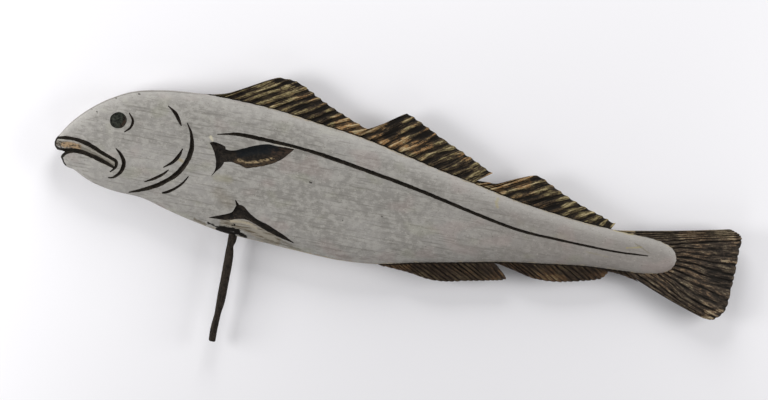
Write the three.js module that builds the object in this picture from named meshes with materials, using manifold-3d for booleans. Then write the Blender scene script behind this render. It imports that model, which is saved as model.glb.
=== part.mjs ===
// Fish weathervane: a fish about a metre long, carved with all its fins from one plank, on a short
// iron rod let into the belly. It lies on its right side, ready to be picked up. Sizes are in mm.
//
// The carving is laid out in the plank's own frame: x runs from the snout to the tail, y up to the
// back, and z out of the left face, with 0 halfway through the thickness.

import * as THREE from 'three';
import { mergeVertices } from 'three/addons/utils/BufferGeometryUtils.js';
import Module from 'manifold-3d';

const wasm = await Module();
wasm.setup();

// The plank: half of its thickness along the fish.
const PLANK = {
  half: 24, // over the flat of both flanks, which the fish lies on
  snoutHalf: 12,
  tongueHalf: 10.5,
  headLength: 120, // the head reaches the full thickness here
  taperFrom: 540, // and from here the body thins towards the tail
};

// How the faces are rounded over towards the outline.
const SHOULDER = { width: 45, share: 0.62, power: 2.3, snout: 22, tongue: 14, steps: 5 };

// The body's outline, without the fins: x, belly, back.
const BODY = [
  [-2, 4.5, 4.5],
  [-0.5, -1.5, 11],
  [4, -6, 18],
  [11, -15.5, 29.5],
  [20, -27, 42],
  [34, -30.5, 57],
  [50, -38.5, 71],
  [70, -45.5, 85],
  [100, -50.5, 100],
  [140, -52.5, 109.5],
  [180, -63, 114],
  [220, -72, 116],
  [270, -80.5, 115],
  [320, -83, 112],
  [380, -86.5, 104],
  [440, -88.5, 96.5],
  [500, -83.5, 84.5],
  [560, -70.5, 71.5],
  [620, -58.5, 60],
  [680, -46.5, 48],
  [740, -37.5, 39.5],
  [800, -29.5, 33.5],
  [850, -26.5, 31.5],
  [890, -24.5, 30.5],
  [915, -18.5, 26],
  [928, -9.5, 17],
  [933.5, 4, 4],
];
const RIBS_PER_SPAN = 2;
const SNOUT_X = BODY[0][0];
const TONGUE_X = BODY[BODY.length - 1][0];

// Fins on the back and the belly, and the low web before the tail. Each key ray gives where it
// leaves the body's outline, and its tip.
const FIN = { rootHalf: 8, tipHalf: 3.8, groove: 1.8, scallop: 1.6, embed: 14, rows: 1 };
const FINS = [
  {
    edge: 'back',
    rays: 17,
    keys: [
      [202, 207, 116],
      [221, 240, 125],
      [231, 298, 157],
      [244, 318, 160.5],
      [272, 340, 157.5],
      [337, 380, 137.5],
      [384, 418, 121.5],
      [425, 450, 110],
    ],
  },
  {
    edge: 'back',
    rays: 15,
    keys: [
      [420.5, 446, 108],
      [434, 470, 122],
      [437, 498, 141.5],
      [444, 508, 142.5],
      [477, 531, 132],
      [520, 567, 115],
      [566, 606, 98],
      [616, 643, 81],
    ],
  },
  {
    edge: 'back',
    rays: 16,
    keys: [
      [596, 604, 63],
      [614, 630, 66],
      [631, 652, 67],
      [636, 674, 77],
      [642, 702, 88.5],
      [652, 716, 88],
      [689, 740, 76],
      [735, 773, 62],
      [782, 808, 50.5],
      [829, 834.5, 42],
    ],
  },
  {
    edge: 'belly',
    rays: 11,
    keys: [
      [501, 503, -85],
      [526, 544, -87],
      [543, 578, -91.5],
      [564, 605, -90],
      [590, 632, -84],
      [626, 664, -77.5],
      [662, 689.5, -71],
      [669, 687, -63.5],
    ],
  },
  {
    edge: 'belly',
    rays: 11,
    keys: [
      [666, 670, -48.5],
      [684, 704, -56],
      [697, 730, -61.3],
      [725, 762, -60.5],
      [764, 797, -53],
      [806, 828, -43.5],
      [831, 838, -31],
    ],
  },
  {
    edge: 'belly',
    rays: 4,
    keys: [
      [826, 837, -30.6],
      [846, 858, -32],
      [866, 884, -37.2],
    ],
  },
];

// The tail fan. Each key ray gives its root, its tip, and how far its middle bows downwards.
const TAIL = { rootHalf: 7, tipHalf: 4.2, groove: 1.8, scallop: 1.8, rows: 4, rays: 13 };
const TAIL_KEYS = [
  [815, 28, 1003, 65, 4],
  [880, 22, 1021, 57, 0],
  [905, 14, 1022, 35, 0],
  [912, 4, 1022, 3, 0],
  [908, -6, 1021, -24, 3],
  [900, -12, 1018, -54, 8],
  [882, -16, 1004, -71, 9],
  [852, -22, 988, -72, 6],
];

// V-shaped cuts of the gouge, the same on both faces: x, y and width along each.
const STROKE = { depthShare: 0.5, rise: 1, stepsPerSpan: 2 };
const STROKES = {
  upperLip: [
    [0, 11, 3], [14, 13.6, 4.4], [30, 13.8, 5], [50, 10, 5.8], [68, 3, 5], [84, -2.8, 4.2], [93, -6.5, 4.4],
    [94.3, -15, 3.8], [87.5, -24, 0.8],
  ],
  gape: [
    [12, -6.6, 3], [20, -4.2, 6], [32, -2.6, 6], [44, -2.9, 5.5], [62, -6.8, 5.8], [79, -11.6, 5],
    [94, -17, 2.4],
  ],
  cheek: [
    [89.5, 12, 0.8], [97, 6, 3.4], [104, -3, 5.4], [105.5, -12, 5.8], [102, -22, 4.5], [94, -30.5, 2.4],
    [86, -32.7, 0.8],
  ],
  eyeCrescent: [[99, 67, 0.8], [106.5, 57, 2.2], [105, 46, 2.2], [97, 38, 0.8]],
  gillTop: [[153.5, 88, 0.8], [166, 79.5, 3.6], [173, 70.5, 3], [178.3, 62.5, 0.8]],
  gillCover: [
    [186, 68.5, 0.8], [194.5, 54.4, 3.4], [198.7, 38, 6.4], [198, 20, 6.5], [191.4, 2, 7], [180, -13.5, 6.2],
    [161, -29, 6], [140, -40.2, 4.5], [119.5, -48.3, 0.8],
  ],
  gillInner: [[186.5, 30, 0.8], [182.5, 18, 3.6], [175.5, 7.5, 3.2], [163.5, -2.5, 0.8]],
  gillLower: [[172, -4.5, 0.8], [163, -14, 3], [152, -22, 2.5], [140, -28.5, 0.8]],
  gillOuter: [[202.5, -8.5, 0.8], [196, -19.5, 2.3], [186, -30, 2.9], [176, -36.8, 3.3], [168.5, -40, 1.5]],
  pelvicSpur: [[277, -30, 0.8], [280.5, -35, 3.4], [285, -43, 7]],
  lateral: [
    [232.5, 60.3, 0.8], [248, 63.6, 2.4], [266, 66.3, 4.8], [300, 65.6, 5], [350, 63.6, 4.4],
    [396, 58.6, 5.2], [456, 49.4, 5], [516, 39.6, 5], [576, 27.8, 4.6], [636, 15.1, 4.2], [696, 4.9, 3.6],
    [756, 1.9, 3], [836, 0.3, 2], [889, 3, 0.8],
  ],
};

// Wider recesses: place along the cut, its two borders there, where its floor lies between them as
// a share from the first border, and its depth. The chevron runs along y, the others along x.
const RECESSES = [
  { along: 'x', floor: 0.22, depth: 4.5, rows: [
    [240, 44, 20], [252, 40.6, 22.4], [262, 42, 24], [278, 49, 20.8], [287, 53.3, 20.4], [306, 59.5, 26.5],
    [322, 60, 34], [335, 60.3, 44], [348, 60.1, 59.3],
  ] },
  { along: 'y', floor: 0.45, depth: 4, rows: [
    [-1, 235.2, 236], [6, 238.6, 241], [14, 239.2, 247], [22, 237.6, 250], [32, 233.8, 247], [42, 227.5, 249],
    [46, 224.5, 245], [48.5, 229, 233],
  ] },
  { along: 'x', floor: 0.4, depth: 4, rows: [
    [243.5, -62.2, -62.8], [262, -54.6, -62.2], [275, -48.3, -60], [280, -37.5, -58.3], [289, -36, -55.6],
    [300, -43.6, -55.7], [312, -51, -59.3], [327, -55.3, -64.9], [340, -60.3, -68.8], [355, -66.5, -73],
    [373.8, -75.7, -76.3],
  ] },
];

const EYE = { x: 85, y: 53.5, radius: 12, floorShare: 0.7, depth: 3, sides: 16 };

// The slit between the lips is cut right through at the snout.
const MOUTH_NOTCH = [[-4, -5.2], [7, -6], [16.5, -6.6], [14, -9.8], [11.8, -13], [11.4, -17], [-4, -20]];

// The pivot rod, forged a little crooked: y, x and radius from its foot to the end inside the belly.
const ROD = { sides: 10, boreGap: 0.3, wallRadius: 6.7, top: -32, belly: -81 };
const ROD_KEYS = [
  [-241.5, 281.5, 3.4],
  [-238, 281.2, 5.3],
  [-222, 280.8, 5.5],
  [-200, 282, 4.9],
  [-184, 282.8, 6.2],
  [-165, 283, 6.7],
  [-120, 282.8, 6.7],
  [-106, 282, 6.2],
  [-98, 281.4, 5.1],
  [-92, 282.2, 6.2],
  [-86, 282.5, 6.7],
];
const ROD_X = 282.5;

// Splines and interpolation

const clamp01 = (value) => THREE.MathUtils.clamp(value, 0, 1);
const mix = THREE.MathUtils.lerp;

// A Catmull-Rom curve through rows of numbers, at u from 0 to the index of the last row.
function splineAt(rows, u) {
  const last = rows.length - 1;
  const i = Math.min(Math.floor(u), last - 1);
  const t = u - i;
  const before = rows[Math.max(i - 1, 0)];
  const after = rows[Math.min(i + 2, last)];
  return rows[i].map((start, c) => {
    const end = rows[i + 1][c];
    const leave = (end - before[c]) / 2;
    const arrive = (after[c] - start) / 2;
    const bend = 2 * (start - end) + leave + arrive;
    return start + t * (leave + t * (3 * (end - start) - 2 * leave - arrive + t * bend));
  });
}

// The same curve as a list of rows, a set number of steps for each span.
function splineRows(rows, stepsPerSpan) {
  const count = (rows.length - 1) * stepsPerSpan;
  return Array.from({ length: count + 1 }, (_, k) => splineAt(rows, k / stepsPerSpan));
}

// The same curve cut into equal steps, with the distance taken over all the numbers of a row.
function evenRows(rows, steps) {
  const fine = splineRows(rows, 24);
  const length = [0];
  for (let k = 1; k < fine.length; k += 1) {
    length.push(length[k - 1] + Math.hypot(...fine[k].map((value, c) => value - fine[k - 1][c])));
  }
  const total = length[length.length - 1];
  return Array.from({ length: steps + 1 }, (_, n) => {
    const goal = (total * n) / steps;
    const k = Math.max(1, length.findIndex((value) => value >= goal - 1e-9));
    const share = (goal - length[k - 1]) / (length[k] - length[k - 1]);
    return fine[k].map((value, c) => mix(fine[k - 1][c], value, share));
  });
}

// The faces of the body

const OUTLINE = splineRows(BODY, 12);

// Belly and back at a place along the fish.
function outlineAt(x) {
  const k = THREE.MathUtils.clamp(OUTLINE.findIndex((row) => row[0] >= x), 1, OUTLINE.length - 1);
  const [from, to] = [OUTLINE[k - 1], OUTLINE[k]];
  const share = clamp01((x - from[0]) / (to[0] - from[0]));
  return { belly: mix(from[1], to[1], share), back: mix(from[2], to[2], share) };
}

function plankHalf(x) {
  const head = Math.sin((clamp01(x / PLANK.headLength) * Math.PI) / 2);
  const tail = Math.cos((clamp01((x - PLANK.taperFrom) / (TONGUE_X - PLANK.taperFrom)) * Math.PI) / 2);
  return mix(PLANK.snoutHalf, PLANK.half, head) - (PLANK.half - PLANK.tongueHalf) * (1 - tail);
}

// A rounded-over edge: 0 at the edge, 1 from one width in.
function roundOver(share) {
  return (1 - (1 - clamp01(share)) ** SHOULDER.power) ** (1 / SHOULDER.power);
}

function shoulderWidth(belly, back) {
  return Math.min(SHOULDER.width, (SHOULDER.share * (back - belly)) / 2);
}

// How far the carved face stands from the middle of the plank.
function faceHeight(x, y) {
  const { belly, back } = outlineAt(x);
  const width = Math.max(shoulderWidth(belly, back), 1e-6);
  const ends = roundOver((x - SNOUT_X) / SHOULDER.snout) * roundOver((TONGUE_X - x) / SHOULDER.tongue);
  return plankHalf(x) * roundOver(Math.min(y - belly, back - y) / width) * ends;
}

// Closed solids

// Points and triangles made into one solid, with doubled points merged and the faces pointing out.
function solid(points, triangles) {
  const loose = new THREE.BufferGeometry();
  loose.setAttribute('position', new THREE.Float32BufferAttribute(points.flatMap((p) => p.toArray()), 3));
  loose.setIndex(triangles.flat());
  const merged = mergeVertices(loose, 1e-4);
  const index = Array.from(merged.index.array);
  const faces = [];
  for (let k = 0; k < index.length; k += 3) {
    const face = index.slice(k, k + 3);
    if (new Set(face).size === 3) faces.push(face);
  }
  const corner = (i) => new THREE.Vector3().fromBufferAttribute(merged.attributes.position, i);
  const volume = faces.reduce((sum, [a, b, c]) => sum + corner(a).dot(corner(b).cross(corner(c))), 0);
  if (volume < 0) faces.forEach((face) => face.reverse());
  return new wasm.Manifold(new wasm.Mesh({
    numProp: 3,
    vertProperties: new Float32Array(merged.attributes.position.array),
    triVerts: new Uint32Array(faces.flat()),
  }));
}

// A skin over a row of rings with the same number of points, closed at both ends by a ladder of
// faces from the ring's first and last points inwards.
function loft(rings) {
  const n = rings[0].length;
  const triangles = [];
  for (let i = 0; i + 1 < rings.length; i += 1) {
    for (let j = 0; j < n; j += 1) {
      const [a, b] = [i * n + j, i * n + ((j + 1) % n)];
      triangles.push([a, b, b + n], [a, b + n, a + n]);
    }
  }
  const lastRing = (rings.length - 1) * n;
  for (let j = 0; j < n - 2 - j; j += 1) {
    const [a, b, c, d] = [j, j + 1, n - 2 - j, n - 1 - j];
    triangles.push([a, c, b], [a, d, c]);
    triangles.push([lastRing + a, lastRing + b, lastRing + c], [lastRing + a, lastRing + c, lastRing + d]);
  }
  return solid(rings.flat(), triangles);
}

// Body and fins

// One rib: up the left face from belly to back, and down the right face.
function rib([x, belly, back]) {
  const width = shoulderWidth(belly, back);
  const inset = Array.from(
    { length: SHOULDER.steps + 1 },
    (_, k) => width * (1 - Math.cos((k * Math.PI) / 2 / SHOULDER.steps)),
  );
  const heights = [...inset.map((d) => belly + d), ...inset.map((d) => back - d).reverse()];
  const left = heights.map((y) => new THREE.Vector3(x, y, faceHeight(x, y)));
  const right = left.slice(1, -1).reverse().map((p) => new THREE.Vector3(p.x, p.y, -p.z));
  return [...left, ...right];
}

function body() {
  return loft(splineRows(BODY, RIBS_PER_SPAN).map(rib));
}

// A fin from rows of root x, root y, tip x, tip y and bow. It is a slab that thins from its root to
// its edge, ridged along each ray, with a groove and a notch of the edge between one ray and the next.
function fin(rows, { rays, rootHalf, tipHalf, groove, scallop, rows: steps }) {
  return loft(evenRows(rows, 2 * (rays - 1)).map(([rootX, rootY, tipX, tipY, bow], i) => {
    const between = i % 2 === 1;
    const root = new THREE.Vector2(rootX, rootY);
    const tip = new THREE.Vector2(tipX, tipY);
    const middle = root.clone().lerp(tip, 0.5).add(new THREE.Vector2(0, -bow));
    const ray = new THREE.QuadraticBezierCurve(root, middle, tip);
    const reach = between ? 1 - scallop / ray.getLength() : 1;
    const left = Array.from({ length: steps + 1 }, (_, k) => {
      const along = (reach * k) / steps;
      const place = ray.getPoint(along);
      const half = mix(rootHalf, tipHalf, along) - (between ? groove : 0);
      return new THREE.Vector3(place.x, place.y, half);
    });
    return [...left, ...left.map((p) => new THREE.Vector3(p.x, p.y, -p.z)).reverse()];
  }));
}

// A key ray of a back or belly fin starts inside the body, a little way down its own line.
function rootedRay([rootX, tipX, tipY], edge) {
  const root = new THREE.Vector2(rootX, outlineAt(rootX)[edge]);
  const tip = new THREE.Vector2(tipX, tipY);
  root.add(root.clone().sub(tip).setLength(FIN.embed));
  return [root.x, root.y, tipX, tipY, 0];
}

// Cuts

// A V-shaped cut into one face, through stations with two rim points, a floor share and a depth.
function faceCut(stations, side) {
  return loft(stations.map(({ first, second, floor, depth }) => {
    const bed = first.clone().lerp(second, floor);
    const bottom = new THREE.Vector3(bed.x, bed.y, side * (faceHeight(bed.x, bed.y) - depth));
    const rim = ({ x, y }) => {
      const point = new THREE.Vector3(x, y, side * faceHeight(x, y));
      return point.lerp(bottom, -STROKE.rise);
    };
    return [rim(first), bottom, rim(second)];
  }));
}

function strokeStations(keys) {
  const rows = splineRows(keys, STROKE.stepsPerSpan);
  return rows.map(([x, y, width], k) => {
    const from = rows[Math.max(k - 1, 0)];
    const to = rows[Math.min(k + 1, rows.length - 1)];
    const across = new THREE.Vector2(from[1] - to[1], to[0] - from[0]).setLength(width / 2);
    const middle = new THREE.Vector2(x, y);
    return {
      first: middle.clone().add(across),
      second: middle.clone().sub(across),
      floor: 0.5,
      depth: width * STROKE.depthShare,
    };
  });
}

function recessStations({ along, floor, depth, rows }) {
  const widest = Math.max(...rows.map(([, first, second]) => Math.abs(first - second)));
  return rows.map(([place, first, second]) => {
    const point = (across) => new THREE.Vector2(...(along === 'x' ? [place, across] : [across, place]));
    const share = Math.abs(first - second) / widest;
    return { first: point(first), second: point(second), floor, depth: depth * Math.sqrt(share) };
  });
}

// A regular ring of points about a centre, laid out by a function of the two offsets.
function ring(sides, radius, place) {
  return Array.from({ length: sides }, (_, k) => {
    const angle = (2 * Math.PI * (k + 0.5)) / sides;
    return place(radius * Math.cos(angle), radius * Math.sin(angle));
  });
}

// The eye is a shallow dish with sloping sides.
function eyeCut(side) {
  const face = faceHeight(EYE.x, EYE.y);
  const slope = EYE.radius * (1 - EYE.floorShare);
  const levels = [
    [EYE.radius - slope, face - EYE.depth],
    [EYE.radius + slope, face + EYE.depth],
  ];
  return loft(levels.map(([radius, z]) => (
    ring(EYE.sides, radius, (dx, dy) => new THREE.Vector3(EYE.x + dx, EYE.y + dy, side * z))
  )));
}

function mouthCut() {
  return loft([-PLANK.half, PLANK.half].map((z) => MOUTH_NOTCH.map(([x, y]) => new THREE.Vector3(x, y, z))));
}

// The iron rod

const rodRing = (y, x, radius) => ring(ROD.sides, radius, (dx, dz) => new THREE.Vector3(x + dx, y, dz));

function bore() {
  const radius = ROD.wallRadius + ROD.boreGap;
  return loft([ROD.belly - 2 * PLANK.half, ROD.top + ROD.boreGap].map((y) => rodRing(y, ROD_X, radius)));
}

function rod() {
  const seated = [ROD.belly, ROD.top].map((y) => rodRing(y, ROD_X, ROD.wallRadius));
  return loft([...ROD_KEYS.map(([y, x, radius]) => rodRing(y, x, radius)), ...seated]);
}

// The whole fish

function fish() {
  let wood = body();
  for (const { edge, rays, keys } of FINS) {
    wood = wood.add(fin(keys.map((key) => rootedRay(key, edge)), { ...FIN, rays }));
  }
  wood = wood.add(fin(TAIL_KEYS, TAIL));
  for (const side of [1, -1]) {
    for (const keys of Object.values(STROKES)) wood = wood.subtract(faceCut(strokeStations(keys), side));
    for (const recess of RECESSES) wood = wood.subtract(faceCut(recessStations(recess), side));
    wood = wood.subtract(eyeCut(side));
  }
  return wood.subtract(mouthCut()).subtract(bore());
}

function meshOf(name, shape, material) {
  const { vertProperties, triVerts } = shape.getMesh();
  const geometry = new THREE.BufferGeometry();
  geometry.setAttribute('position', new THREE.Float32BufferAttribute(vertProperties, 3));
  geometry.setIndex(Array.from(triVerts));
  geometry.computeVertexNormals();
  const mesh = new THREE.Mesh(geometry, material);
  mesh.name = name;
  return mesh;
}

const paintedWood = new THREE.MeshStandardMaterial({ color: '#97948f', roughness: 0.75, metalness: 0 });
const rustedIron = new THREE.MeshStandardMaterial({ color: '#2f2823', roughness: 0.85, metalness: 0.4 });

const weathervane = new THREE.Group();
weathervane.add(meshOf('carved_fish', fish(), paintedWood));
weathervane.add(meshOf('pivot_rod', rod(), rustedIron));

// Laid on its right side, with the origin under the middle of its box.
const extent = new THREE.Box3().setFromObject(weathervane);
const middle = extent.getCenter(new THREE.Vector3());
weathervane.position.set(-middle.x, -middle.y, -extent.min.z);

export default weathervane;
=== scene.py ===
"""Fish weathervane: one carved and painted plank on a short rusted iron rod, lying on its right side.

The carving is laid out in the plank's own frame, in mm: x from the snout to the tail, y up to the
back, z out of the left face, with 0 halfway through the thickness. `settle` turns it to metres.
"""

import math

import bmesh
import bpy
import numpy as np
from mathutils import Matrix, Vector


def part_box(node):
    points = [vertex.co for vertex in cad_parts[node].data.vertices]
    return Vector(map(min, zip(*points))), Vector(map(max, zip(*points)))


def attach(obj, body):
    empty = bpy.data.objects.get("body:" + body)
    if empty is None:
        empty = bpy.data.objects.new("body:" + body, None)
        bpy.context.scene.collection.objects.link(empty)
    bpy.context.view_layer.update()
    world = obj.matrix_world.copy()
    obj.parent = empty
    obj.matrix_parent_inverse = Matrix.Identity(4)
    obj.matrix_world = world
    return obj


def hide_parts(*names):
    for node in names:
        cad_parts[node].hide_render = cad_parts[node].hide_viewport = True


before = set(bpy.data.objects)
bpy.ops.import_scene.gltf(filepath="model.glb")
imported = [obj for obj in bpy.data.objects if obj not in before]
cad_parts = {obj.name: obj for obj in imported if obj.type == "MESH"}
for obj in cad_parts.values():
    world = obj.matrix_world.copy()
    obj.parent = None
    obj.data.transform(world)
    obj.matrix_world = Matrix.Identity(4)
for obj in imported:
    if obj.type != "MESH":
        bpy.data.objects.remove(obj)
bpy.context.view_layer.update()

MM = 0.001
FISH_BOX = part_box("carved_fish")
ROD_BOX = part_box("pivot_rod")

# The plank, and how its faces are rounded over towards the outline
PLANK_HALF = 24.0
SNOUT_HALF = 12.0
TONGUE_HALF = 10.5
HEAD_LENGTH = 120.0
TAPER_FROM = 540.0
SHOULDER_WIDTH = 45.0
SHOULDER_SHARE = 0.62
SHOULDER_POWER = 2.3
SNOUT_ROUNDING = 22.0
TONGUE_ROUNDING = 14.0
DRAWKNIFE_HOLLOW = 0.22  # mean depth of the drawknife's broad hollows in the faces
SCRAPER_MARK = 0.07  # and of the scraper's finer ones
BODY_RIBS = 330
SHOULDER_STEPS = 14
FLANK_STEPS = 20

# The body's outline without the fins: x, belly, back
BODY = [
    (-2, 4.5, 4.5), (-0.5, -1.5, 11), (4, -6, 18), (11, -15.5, 29.5), (20, -27, 42), (34, -30.5, 57),
    (50, -38.5, 71), (70, -45.5, 85), (100, -50.5, 100), (140, -52.5, 109.5), (180, -63, 114),
    (220, -72, 116), (270, -80.5, 115), (320, -83, 112), (380, -86.5, 104), (440, -88.5, 96.5),
    (500, -83.5, 84.5), (560, -70.5, 71.5), (620, -58.5, 60), (680, -46.5, 48), (740, -37.5, 39.5),
    (800, -29.5, 33.5), (850, -26.5, 31.5), (890, -24.5, 30.5), (915, -18.5, 26), (928, -9.5, 17),
    (933.5, 4, 4),
]
SNOUT_X = BODY[0][0]
TONGUE_X = BODY[-1][0]

# Fins on the back and the belly: the edge they stand on, their rays, the steps along a ray, how
# ragged they are, and key rays of root x, tip x and tip y
FIN_ROOT_HALF = 8.0
FIN_TIP_HALF = 3.8
FIN_EMBED = 14.0
FINS = [
    ("back", 17, 16, 0.9, [
        (202, 207, 116), (221, 240, 125), (231, 298, 157), (244, 318, 160.5), (272, 340, 157.5),
        (337, 380, 137.5), (384, 418, 121.5), (425, 450, 110)]),
    ("back", 15, 15, 1.5, [
        (420.5, 446, 108), (434, 470, 122), (437, 498, 141.5), (444, 508, 142.5), (477, 531, 132),
        (520, 567, 115), (566, 606, 98), (616, 643, 81)]),
    ("back", 16, 13, 1.2, [
        (596, 604, 63), (614, 630, 66), (631, 652, 67), (636, 674, 77), (642, 702, 88.5),
        (652, 716, 88), (689, 740, 76), (735, 773, 62), (782, 808, 50.5), (829, 834.5, 42)]),
    ("belly", 22, 9, 0.6, [
        (501, 503, -85), (526, 544, -87), (543, 578, -91.5), (564, 605, -90), (590, 632, -84),
        (626, 664, -77.5), (662, 689.5, -71), (669, 687, -63.5)]),
    ("belly", 20, 9, 0.7, [
        (666, 670, -48.5), (684, 704, -56), (697, 730, -61.3), (725, 762, -60.5), (764, 797, -53),
        (806, 828, -43.5), (831, 838, -31)]),
    ("belly", 6, 6, 0.5, [(826, 837, -30.6), (846, 858, -32), (866, 884, -37.2)]),
]

# The tail fan: root x and y, tip x and y, and how far the middle of the ray bows downwards
TAIL_RAYS = 20
TAIL_STEPS = 36
TAIL_ROOT_HALF = 7.0
TAIL_TIP_HALF = 4.2
TAIL = [
    (815, 28, 1003, 65, 4), (880, 22, 1021, 57, 0), (905, 14, 1022, 35, 0), (912, 4, 1022, 3, 0),
    (908, -6, 1021, -24, 3), (900, -12, 1018, -54, 8), (882, -16, 1004, -71, 9),
    (852, -22, 988, -72, 6),
]

# How the fins are cut: columns of points for each ray, depth of the grooves and of the fine gouge
# lines, notches and rounding of the edge, and the least that the cuts leave
BROAD_RAY_COLUMNS = 12
NARROW_RAY_COLUMNS = 8
RAY_GROOVE = 2.1
FINE_GROOVE = 0.9
EDGE_SCALLOP = 1.7
EDGE_ROUNDING = 3.2
DEEPEST_SHARE = 0.62
LEAST_HALF = 0.8

# Cuts of the gouge, the same on both faces: x, y and width along each. Their rims are broken a
# little wider than the width given, and a lid closes them well clear of the face.
STROKE_DEPTH_SHARE = 0.5
STROKE_STEP = 1.8
BROKEN_RIM = 0.7
LID_CLEARANCE = 5.0
STROKES = {
    "upper_lip": [
        (0, 11, 3), (14, 13.6, 4.4), (30, 13.8, 5), (50, 10, 5.8), (68, 3, 5), (84, -2.8, 4.2),
        (93, -6.5, 4.4), (94.3, -15, 3.8), (87.5, -24, 0.8)],
    "gape": [
        (12, -6.6, 3), (20, -4.2, 6), (32, -2.6, 6), (44, -2.9, 5.5), (62, -6.8, 5.8), (79, -11.6, 5),
        (94, -17, 2.4)],
    "cheek": [
        (89.5, 12, 0.8), (97, 6, 3.4), (104, -3, 5.4), (105.5, -12, 5.8), (102, -22, 4.5),
        (94, -30.5, 2.4), (86, -32.7, 0.8)],
    "eye_crescent": [(99, 67, 0.8), (106.5, 57, 3), (105, 46, 3), (97, 38, 0.8)],
    "gill_top": [(153.5, 88, 0.8), (166, 79.5, 4.4), (173, 70.5, 4), (178.3, 62.5, 0.8)],
    "gill_cover": [
        (186, 68.5, 0.8), (194.5, 54.4, 3.4), (198.7, 38, 6.4), (198, 20, 6.5), (191.4, 2, 7),
        (180, -13.5, 6.2), (161, -29, 6), (140, -40.2, 4.5), (119.5, -48.3, 0.8)],
    "gill_inner": [(186.5, 30, 0.8), (182.5, 18, 4.4), (175.5, 7.5, 4), (163.5, -2.5, 0.8)],
    "gill_lower": [(172, -4.5, 0.8), (163, -14, 3.4), (152, -22, 3), (140, -28.5, 0.8)],
    "gill_outer": [
        (202.5, -8.5, 0.8), (196, -19.5, 2.3), (186, -30, 2.9), (176, -36.8, 3.3), (168.5, -40, 1.5)],
    "pelvic_spur": [(277, -30, 0.8), (280.5, -35, 3.4), (285, -43, 7)],
    "lateral_line": [
        (232.5, 60.3, 0.8), (248, 63.6, 2.4), (266, 66.3, 4.8), (300, 65.6, 5), (350, 63.6, 4.4),
        (396, 58.6, 5.2), (456, 49.4, 5), (516, 39.6, 5), (576, 27.8, 4.6), (636, 15.1, 4.2),
        (696, 4.9, 3.6), (756, 1.9, 3), (836, 0.3, 2.2), (878, 2.4, 1.6), (890, 3.2, 0.8)],
}

# Wider recesses: the axis they run along, where the floor lies between the borders, the depth, and
# rows of place along, first border and second border
RECESSES = {
    "pectoral": ("x", 0.22, 4.5, [
        (240, 44, 20), (252, 40.6, 22.4), (262, 42, 24), (278, 49, 20.8), (287, 53.3, 20.4),
        (306, 59.5, 26.5), (322, 60, 34), (335, 60.3, 44), (348, 60.1, 59.3)]),
    "chevron": ("y", 0.45, 4.0, [
        (-1, 235.2, 236), (6, 238.6, 241), (14, 239.2, 247), (22, 237.6, 250), (32, 233.8, 247),
        (42, 227.5, 249), (46, 224.5, 245), (48.5, 229, 233)]),
    "pelvic": ("x", 0.4, 4.0, [
        (243.5, -62.2, -62.8), (262, -54.6, -62.2), (275, -48.3, -60), (280, -37.5, -58.3),
        (289, -36, -55.6), (300, -43.6, -55.7), (312, -51, -59.3), (327, -55.3, -64.9),
        (340, -60.3, -68.8), (355, -66.5, -73), (373.8, -75.7, -76.3)]),
}
RECESS_STEPS = 7

EYE = (85.0, 53.5)
EYE_RADIUS = 12.0
EYE_DEPTH = 3.0
EYE_SIDES = 64
MOUTH_LEVELS = 13
MOUTH_NOTCH = [
    (-4, -5.2), (3, -5.9), (7, -6), (12, -6.1), (16.5, -6.6), (15.4, -8), (14, -9.8), (12.6, -11.5),
    (11.8, -13), (11.2, -15), (11.4, -17), (8, -19), (-4, -20),
]

# The pivot rod: y, x and radius from its foot to its end inside the belly
ROD_X = 282.5
ROD_WALL_RADIUS = 6.7
BORE_GAP = 0.3
BORE_SIDES = 40
BORE_START = 40.0  # how far below ROD_BELLY the cut for the bore starts
ROD_STEPS = 150
ROD_SIDES = 36
ROD_PITTING = 0.06  # how much of the radius the rust has eaten at most
ROD_TOP = -32.0
ROD_BELLY = -81.0
ROD = [
    (-241.5, 281.5, 3.4), (-240.6, 281.4, 4.6), (-238, 281.2, 5.3), (-222, 280.8, 5.5),
    (-200, 282, 4.9), (-184, 282.8, 6.2), (-165, 283, 6.7), (-120, 282.8, 6.7), (-106, 282, 6.2),
    (-98, 281.4, 5.1), (-92, 282.2, 6.2), (-86, 282.5, 6.7), (ROD_BELLY, ROD_X, ROD_WALL_RADIUS),
    (ROD_TOP, ROD_X, ROD_WALL_RADIUS),
]

# Where the plank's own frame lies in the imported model, in mm
PLANK_ORIGIN = np.array([
    FISH_BOX[0].x / MM - SNOUT_X,
    ROD_BOX[0].y / MM - ROD[0][0],
    (FISH_BOX[0].z + FISH_BOX[1].z) / 2 / MM,
])


def settle(points):
    """Places in the plank's frame, in mm, as places in the model, in metres."""
    return (np.asarray(points, float) + PLANK_ORIGIN) * MM


# Curves and noise

HILL_GRID = (61, 53)  # the random heights repeat past these counts


def spline_rows(rows, steps):
    """A Catmull-Rom curve through rows of numbers, with a set number of steps for each span."""
    rows = np.array(rows, float)
    last = len(rows) - 1
    u = np.linspace(0, last, last * steps + 1)
    i = np.minimum(u.astype(int), last - 1)
    t = (u - i)[:, None]
    before, start, end, after = (rows[np.clip(i + k, 0, last)] for k in (-1, 0, 1, 2))
    leave = (end - before) / 2
    arrive = (after - start) / 2
    bend = 2 * (start - end) + leave + arrive
    return start + t * (leave + t * (3 * (end - start) - 2 * leave - arrive + t * bend))


def even_rows(rows, steps, columns=None):
    """The same curve cut into equal steps of the distance over all or the first columns of a row."""
    fine = spline_rows(rows, 24)
    stride = np.linalg.norm(np.diff(fine[:, :columns], axis=0), axis=1)
    length = np.concatenate([[0], np.cumsum(stride)])
    goals = np.linspace(0, length[-1], steps + 1)
    return np.stack([np.interp(goals, length, column) for column in fine.T], axis=1)


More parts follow.
